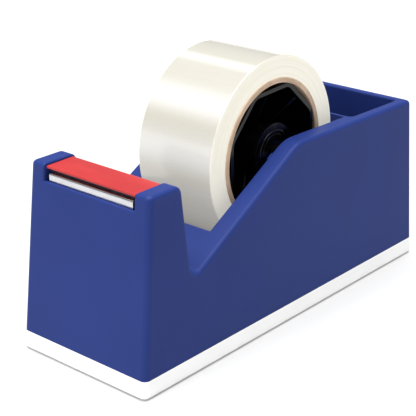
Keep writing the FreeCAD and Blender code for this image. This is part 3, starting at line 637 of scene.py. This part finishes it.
windingShape = {  # the two rooms keep the wavy faces inside the CAD roll
    "faceRoom": 0.16 * mm, "endRoom": 0.06 * mm, "edgeRound": 0.5 * mm, "innerRound": 0.02 * mm,
    "around": 360, "step": 0.6 * mm,
    # the folded free end: angle in degrees, slopes of its two edges in radians
    "tabAt": 38.0, "tabLength": 11 * mm, "tabRise": 0.10 * mm, "tabSlopes": (0.006, 0.012),
    # waves round the face: how many in a turn, start, share of the dip
    "dip": 0.05 * mm, "dipWaves": [(7, 0.4, 0.35), (13, 0.0, 0.3), (4, 2.0, 0.35)],
    # waves across the ends: how many in a millimetre, lean and sway round the roll, share of the ripple
    "ripple": 0.024 * mm, "rippleWaves": [(0.55, 0, 1.3, 1.0), (0.78, -1, 0.0, 0.6), (0.26, 0, 0.0, 0.8)],
}


def tapeWinding():
    # a closed profile turned round the axle; sine sums ripple the ends and dip the face between the bands
    low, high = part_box("tape_winding")
    coreLow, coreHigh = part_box("tape_core")
    outer = (high.z - low.z) / 2 - windingShape["faceRoom"]
    inner = (coreHigh.z - coreLow.z) / 2
    half = (high.y - low.y) / 2 - windingShape["endRoom"]
    r = windingShape["edgeRound"]
    inside = windingShape["innerRound"]
    loop = roundedLoop((inner, -half), (outer, half), [inside, r, r, inside])
    far, along = asColumns(densify(loop, windingShape["step"]))
    angle = fullTurn(windingShape["around"])
    onEnd = np.clip((np.abs(along) - half + r) / r, 0.0, 1.0)
    onFace = np.clip((far - outer + r) / r, 0.0, 1.0) * (1 - onEnd)
    across = far / mm * 2 * math.pi
    ripple = sum(
        share * np.sin(often * across + lean * angle + sway * np.sin(angle))
        for often, lean, sway, share in windingShape["rippleWaves"]
    )
    slip = windingShape["ripple"] * ripple * onEnd * np.sign(along)
    dip = sum(share * np.sin(count * angle + start) for count, start, share in windingShape["dipWaves"])
    tabSpan = windingShape["tabLength"] / outer
    turn = np.mod(angle - math.radians(windingShape["tabAt"]), 2 * math.pi)
    rising, falling = windingShape["tabSlopes"]
    tab = np.clip((tabSpan - turn) / falling, 0.0, 1.0) * np.clip(turn / rising, 0.0, 1.0)
    radius = far + onFace * (windingShape["dip"] * dip + windingShape["tabRise"] * tab)
    addPiece("tapeWinding", ringMesh("tapeWinding", radius, along + slip, angle), "tape_winding")


coreShape = {  # waves of the cut ends: how many in a turn, radians per millimetre outwards, share
    "wall": 2.85 * mm, "edgeRound": 0.25 * mm, "around": 240, "step": 0.5 * mm,
    "wobble": 0.05 * mm, "waves": [(3, 0, 0.5), (5, 13, 0.5)],
}


def cardCore():
    # a closed profile turned round the axle, with the cut ends a little uneven
    low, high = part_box("tape_core")
    outer = (high.z - low.z) / 2
    bore = outer - coreShape["wall"]
    half = (high.y - low.y) / 2 - coreShape["wobble"]
    r = coreShape["edgeRound"]
    loop = roundedLoop((bore, -half), (outer, half), [r, r, r, r])
    far, along = asColumns(densify(loop, coreShape["step"]))
    angle = fullTurn(coreShape["around"])
    onEnd = np.clip((np.abs(along) - half + r) / r, 0.0, 1.0)
    wave = sum(share * np.sin(count * angle + out * far / mm) for count, out, share in coreShape["waves"])
    uneven = coreShape["wobble"] * onEnd * np.sign(along) * wave
    addPiece("cardCore", ringMesh("cardCore", far, along + uneven, angle), "tape_core")


weldWithin = 0.002 * mm  # the same for the corners of a CAD node
brokenEdge = {"segments": 3, "sharperThan": 40.0, "flatWithin": 0.5}  # angles in degrees
edgeBreaks = {  # width of the broken edges on pieces that keep their CAD shape
    "core_adapter_left": 0.35 * mm, "core_adapter_right": 0.35 * mm,
    "spindle_drum": 0.4 * mm, "spindle_bushes": 0.3 * mm, "blade_guard": 0.35 * mm, "cutter_block": 0.3 * mm,
    "drawer_tray": 0.35 * mm, "drawer_front": 0.45 * mm, "blade_clamp_bar": 0.3 * mm,
}


def brokenEdges(nodeName, width):
    # copy of a CAD node with its triangles merged into flat faces, then its sharp edges rounded
    mesh = nodes[nodeName].data.copy()
    work = bmesh.new()
    work.from_mesh(mesh)
    bmesh.ops.remove_doubles(work, verts=work.verts, dist=weldWithin)
    flat = math.radians(brokenEdge["flatWithin"])
    bmesh.ops.dissolve_limit(work, angle_limit=flat, verts=work.verts, edges=work.edges)
    bmesh.ops.recalc_face_normals(work, faces=work.faces)
    work.to_mesh(mesh)
    work.free()
    piece = addPiece(pieceName(nodeName), mesh, nodeName)
    bevel = piece.modifiers.new("brokenEdges", "BEVEL")
    bevel.width = width
    bevel.segments = brokenEdge["segments"]
    bevel.limit_method = "ANGLE"
    bevel.angle_limit = math.radians(brokenEdge["sharperThan"])
    bevel.harden_normals = True
    bevel.use_clamp_overlap = True


tapeWinding()
cardCore()
for nodeName, width in edgeBreaks.items():
    brokenEdges(nodeName, width)
print("roll, core and moulded pieces made")


bladeShape = {  # "edge" is the share of the thickness left at a root, "taper" what a tip has more
    "bevelWidth": 1.1 * mm, "toothHeight": 1.2 * mm, "pitch": 1.6 * mm, "edge": 0.15, "taper": 0.75,
    "smoothAngle": 20.0,
}


def sawBlade():
    # strip with a ground front: at each step along it a six-point section, whose top is a triangle wave
    low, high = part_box("cutter_blade")
    thick = high.x - low.x
    root = high.z - bladeShape["toothHeight"]
    count = int((high.y - low.y) / bladeShape["pitch"])
    steps = np.linspace(0.0, count, 4 * count + 1)
    y = low.y + steps / count * (high.y - low.y)
    tip = root + (high.z - root) * (1 - np.abs(2 * np.mod(steps, 1.0) - 1))
    ground = root - bladeShape["bevelWidth"]
    thin = low.x + thick * (bladeShape["edge"] + bladeShape["taper"] * (tip - root) / (high.z - root))
    level = np.ones_like(y)
    section = [
        (low.x * level, low.z * level), (low.x * level, ground * level), (thin, tip),
        (high.x * level, tip), (high.x * level, ground * level), (high.x * level, low.z * level),
    ]
    points = np.stack([np.stack([x, y, z], axis=-1) for x, z in section], axis=0)
    ends = [points[:, 0], points[:, -1]]
    caps = [(end.reshape(1, 6, 3), np.array([[0, 1, 4, 5]])) for end in ends]
    tips = [(end.reshape(1, 6, 3), np.array([[1, 2, 3, 4]])) for end in ends]
    mesh = meshFrom("sawBlade", [(points, gridFaces(len(section), len(y), True, False))] + caps + tips)
    addPiece("sawBlade", mesh, "cutter_blade", bladeShape["smoothAngle"])


sawBlade()

screwShape = {
    # shares of the head's radius and height; the cross narrows over its soft widths
    "crossWidth": 0.30, "crossReach": 0.62, "crossDepth": 0.55, "crossSlope": 0.5,
    "crossSoft": 0.05, "endSoft": 0.08, "dome": 0.18, "rim": 0.06, "headFit": 0.995,
    # shares of the shank's width; how fast the thread starts and ends, and how blunt the point is
    "pitch": 0.42, "groove": 0.18, "shankFit": 0.98,
    "threadStart": 12, "threadEnd": 6, "threadLeast": 0.15, "pointSlope": 5, "pointBlunt": 0.35,
    # rings of points on the head (from, to, count), points round it, and steps in a turn of thread
    "innerRings": (0.0, 0.7, 15), "outerRings": (0.74, 0.94, 6), "rimRings": 5,
    "around": 40, "stepsPerTurn": 8, "smoothAngle": 32.0,
}


def screwGrids(seat, out, headRadius, headHeight, shankRadius, length):
    # pan head: height falls off with the square of the distance, less a cross-shaped recess;
    # shank: the radius rises and falls with height minus turn, which makes the thread
    side = np.array([0.0, 1.0, 0.0])
    other = np.cross(out, side)
    angle = fullTurn(screwShape["around"])

    def placed(radius, height):
        c = np.cos(angle)[..., None] * side
        s = np.sin(angle)[..., None] * other
        return seat + radius[..., None] * (c + s) + height[..., None] * out

    rings = [np.linspace(*screwShape[name]) for name in ("innerRings", "outerRings")]
    share = np.concatenate(rings)[:, None]
    radius = share * headRadius + 0 * angle
    across = np.minimum(np.abs(np.cos(angle)), np.abs(np.sin(angle))) * share
    inCross = np.clip((screwShape["crossWidth"] / 2 - across) / screwShape["crossSoft"], 0, 1)
    inCross = inCross * np.clip((screwShape["crossReach"] - share) / screwShape["endSoft"], 0, 1)
    depth = screwShape["crossDepth"] * headHeight * inCross * (1.0 - screwShape["crossSlope"] * share)
    crown = headHeight * (1 - screwShape["dome"] * share ** 2)
    top = placed(radius, crown - depth)
    rimAngle = np.linspace(0.0, math.pi / 2, screwShape["rimRings"])[:, None]
    rimRound = screwShape["rim"] * headRadius
    rimTop = headHeight * (1 - screwShape["dome"])
    rimRadius = headRadius - rimRound + rimRound * np.sin(rimAngle) + 0 * angle
    rim = placed(rimRadius, rimTop - rimRound + rimRound * np.cos(rimAngle) + 0 * angle)
    under = placed(np.array([[headRadius], [shankRadius]]) + 0 * angle, np.array([[0.0], [0.0]]) + 0 * angle)
    pitch = screwShape["pitch"] * shankRadius * 2
    turns = length / pitch
    down = np.linspace(0.0, 1.0, int(turns * screwShape["stepsPerTurn"]))[:, None]
    phase = np.mod(down * turns - angle / (2 * math.pi), 1.0)
    ridge = 1 - np.abs(2 * phase - 1)
    fade = np.clip((1 - down) * screwShape["threadEnd"], screwShape["threadLeast"], 1.0)
    fade = fade * np.clip(down * screwShape["threadStart"], 0.0, 1.0)
    thread = 1 - screwShape["groove"] * (1 - ridge) * fade
    point = np.clip((1 - down) * screwShape["pointSlope"] + screwShape["pointBlunt"], 0, 1)
    shank = placed(shankRadius * thread * point, -down * length + 0 * angle)
    tip = placed(0 * angle + np.zeros((1, 1)), -length + 0 * angle)
    rows = np.concatenate([top, rim, under, shank, tip])
    return rows, gridFaces(*rows.shape[:2], False, True)


def looseParts(nodeName):
    # boxes of the separate bodies in one CAD node, found by joining what shares a corner
    work = bmesh.new()
    work.from_mesh(nodes[nodeName].data)
    bmesh.ops.remove_doubles(work, verts=work.verts, dist=weldWithin)
    left = set(work.verts)
    boxes = []
    while left:
        group = [left.pop()]
        seen = list(group)
        while group:
            here = group.pop()
            for edge in here.link_edges:
                other = edge.other_vert(here)
                if other in left:
                    left.remove(other)
                    group.append(other)
                    seen.append(other)
        spots = np.array([v.co[:] for v in seen])
        boxes.append((spots.min(axis=0), spots.max(axis=0)))
    work.free()
    return sorted(boxes, key=lambda b: tuple(b[0]))


screwKinds = {  # direction from shank to head, head height, shank radius
    "base_screws": {"out": (0, 0, -1), "head": 2.0 * mm, "shank": 1.5 * mm},
    "ballast_screws": {"out": (0, 0, -1), "head": 1.6 * mm, "shank": 2.0 * mm},
    "cutter_block_screws": {"out": (0, 0, 1), "head": 1.7 * mm, "shank": 1.3 * mm},
    "blade_screws": {"out": (1, 0, 0), "head": 1.6 * mm, "shank": 1.2 * mm},
    "drawer_screws": {"out": (-1, 0, 0), "head": 1.4 * mm, "shank": 1.2 * mm},
}


def makeScrews():
    for nodeName, kind in screwKinds.items():
        out = np.array(kind["out"], dtype=float)
        seats = []
        for low, high in looseParts(nodeName):
            middle = (low + high) / 2
            outer = np.where(out > 0, high, low)
            seats.append(np.where(out != 0, outer - out * kind["head"], middle))
        low, high = looseParts(nodeName)[0]
        size = high - low
        headRadius = float(np.min(size[out == 0]) / 2) * screwShape["headFit"]
        length = float(size[out != 0][0] - kind["head"])
        shankRadius = kind["shank"] * screwShape["shankFit"]
        grids = [screwGrids(seat, out, headRadius, kind["head"], shankRadius, length) for seat in seats]
        name = pieceName(nodeName)
        addPiece(name, meshFrom(name, grids), nodeName, screwShape["smoothAngle"])


makeScrews()

footShape = {
    "rim": 0.7 * mm, "rings": 3, "ringDepth": 0.30 * mm, "around": 72, "soleSteps": 60, "rimSteps": 8,
}


def rubberFeet():
    # turned profile: a rounded sole with concentric grooves, cosine-shaped
    grids = []
    for low, high in looseParts("rubber_feet"):
        radius = (high[0] - low[0]) / 2
        centre = (low + high) / 2
        rim = footShape["rim"]
        share = np.linspace(0.0, 1.0, footShape["soleSteps"])
        groove = 0.5 - 0.5 * np.cos(2 * math.pi * share * footShape["rings"])
        sole = np.stack([share * (radius - rim), footShape["ringDepth"] * groove], axis=-1)
        turn = np.linspace(0.0, math.pi / 2, footShape["rimSteps"])[1:]
        bend = np.stack([radius - rim + rim * np.sin(turn), rim - rim * np.cos(turn)], axis=-1)
        top = np.array([[radius, high[2]], [0.0, high[2]]])
        loop = np.concatenate([sole, bend, top])
        angle = fullTurn(footShape["around"])
        far, rise = asColumns(loop)
        x = centre[0] + far * np.cos(angle)
        y = centre[1] + far * np.sin(angle)
        points = np.stack([x, y, rise + 0 * angle], axis=-1)
        grids.append((points, gridFaces(*points.shape[:2], False, True)))
    addPiece("rubberFeet", meshFrom("rubberFeet", grids), "rubber_feet")


rubberFeet()
print("blade, screws and feet made")

view = {  # place and clip distances in metres, turns in degrees, lens and sensor in millimetres
    "place": (-0.5025, -0.4182, 0.3186), "yaw": 41.019, "pitch": 21.954, "roll": -0.205,
    "lens": 107.2, "sensor": 36.0, "near": 0.01, "far": 200.0,
}


def makeCamera():
    yaw, pitch, roll = (math.radians(view[k]) for k in ("yaw", "pitch", "roll"))
    ahead = Vector((math.cos(yaw) * math.cos(pitch), math.sin(yaw) * math.cos(pitch), -math.sin(pitch)))
    level = Vector((math.sin(yaw), -math.cos(yaw), 0.0))
    upright = level.cross(ahead)
    right = math.cos(roll) * level + math.sin(roll) * upright
    up = math.cos(roll) * upright - math.sin(roll) * level
    data = bpy.data.cameras.new("camera")
    data.lens = view["lens"]
    data.sensor_width = view["sensor"]
    data.clip_start = view["near"]
    data.clip_end = view["far"]
    camera = bpy.data.objects.new("camera", data)
    turn = Matrix((right, up, -ahead)).transposed().to_4x4()
    camera.matrix_world = Matrix.Translation(view["place"]) @ turn
    bpy.context.scene.collection.objects.link(camera)
    bpy.context.scene.camera = camera


makeCamera()

studio = {
    "floorHalf": 8.5, "floorPale": 0.46, "floorGlow": 0.17, "floorShine": 0.1, "sky": 0.30,
    "wallRadius": 8.0, "wallHeight": 0.95, "wallSides": 48,
    "wallPale": 0.08, "wallGlow": 1.0, "wallShine": 0.0, "rough": 0.9,
}
lamps = {
    "overhead": {"kind": "SUN", "place": (-0.05, 0.0, 1.5), "aim": (0, 0, 0), "power": 6.0, "spread": 60.0},
    "frontLeft": {
        "kind": "AREA", "place": (-1.5, 0.1, 0.9), "aim": (0, 0, 0.08), "size": (1.0, 1.2), "power": 13.0,
    },
}


def makeSet(name, points, faces, pale, glow, shine):  # a part of the set, which glows a little itself
    mesh = bpy.data.meshes.new(name)
    mesh.from_pydata(points, [], faces)
    paper = Shader(name + "Paper").finish({
        "Base Color": grey(pale), "Roughness": studio["rough"], "Specular IOR Level": shine,
        "Emission Color": white, "Emission Strength": glow,
    })
    mesh.materials.append(paper)
    made = bpy.data.objects.new(name, mesh)
    bpy.context.scene.collection.objects.link(made)


def makeFloor():
    half = studio["floorHalf"]
    corners = [(-half, -half, 0), (half, -half, 0), (half, half, 0), (-half, half, 0)]
    look = studio["floorPale"], studio["floorGlow"], studio["floorShine"]
    makeSet("floor", corners, [(0, 1, 2, 3)], *look)


def makeWall():  # pale ring far round the object, so that a low view ends on it
    turn = fullTurn(studio["wallSides"])[0]
    ring = np.stack([np.cos(turn), np.sin(turn), 0 * turn], axis=-1) * studio["wallRadius"]
    rows = np.concatenate([ring, ring + (0.0, 0.0, studio["wallHeight"])])
    faces = gridFaces(2, studio["wallSides"], False, True)
    look = studio["wallPale"], studio["wallGlow"], studio["wallShine"]
    makeSet("wall", rows.tolist(), faces.tolist(), *look)


def makeLamps():
    for name, lamp in lamps.items():
        data = bpy.data.lights.new(name, lamp["kind"])
        if lamp["kind"] == "SUN":
            data.angle = math.radians(lamp["spread"])
        else:
            data.shape = "RECTANGLE"
            data.size, data.size_y = lamp["size"]
        data.energy = lamp["power"]
        made = bpy.data.objects.new(name, data)
        made.location = lamp["place"]
        toward = Vector(lamp["aim"]) - Vector(lamp["place"])
        made.rotation_euler = toward.to_track_quat("-Z", "Y").to_euler()
        bpy.context.scene.collection.objects.link(made)


def makeSky():
    world = bpy.data.worlds.new("studio")
    world.use_nodes = True
    back = world.node_tree.nodes["Background"]
    back.inputs["Color"].default_value = white
    back.inputs["Strength"].default_value = studio["sky"]
    bpy.context.scene.world = world
    bpy.context.scene.view_settings.view_transform = "Standard"


makeFloor()
makeWall()
makeLamps()
makeSky()
print("camera, floor, wall and lamps placed")
